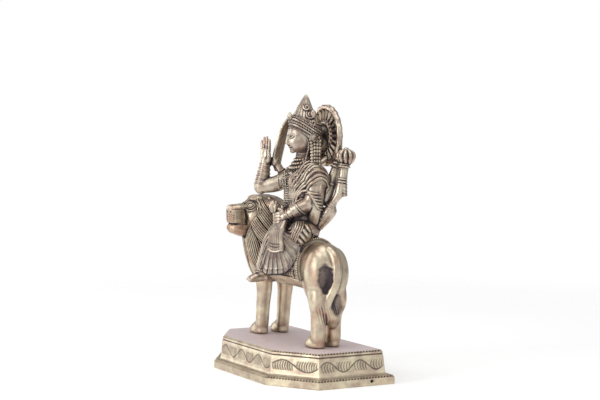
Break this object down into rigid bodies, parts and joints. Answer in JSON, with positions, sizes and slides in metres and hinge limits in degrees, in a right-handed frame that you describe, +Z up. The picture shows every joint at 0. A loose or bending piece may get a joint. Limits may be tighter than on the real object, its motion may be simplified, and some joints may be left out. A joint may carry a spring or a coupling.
{
  "type": "durga figure",
  "caption": "Cast brass shrine figure: a crowned goddess with several arms rides a standing lion, on a stepped plinth with cut front corners.",
  "frame": {"origin": "centre of the plinth's underside", "axes": "+Z up, towards the crown; +X along the lion's body towards its rump; -Y to the front, where goddess and lion look"},
  "size_m": [0.1258, 0.0654, 0.1599],
  "materials": {
    "plinth_brass": "satin brass, engraved, with a grey-mauve bloom on its flat top",
    "lion_brass": "hand-polished cast brass, dark patina in the pitted hollows",
    "durga_brass": "chased cast brass, bright on the high points, brown-purple patina in the recesses"
  },
  "bodies": {
    "root": {"plinth": "plinth_brass", "lion": "lion_brass", "durga": "durga_brass"}
  },
  "joints": []
}
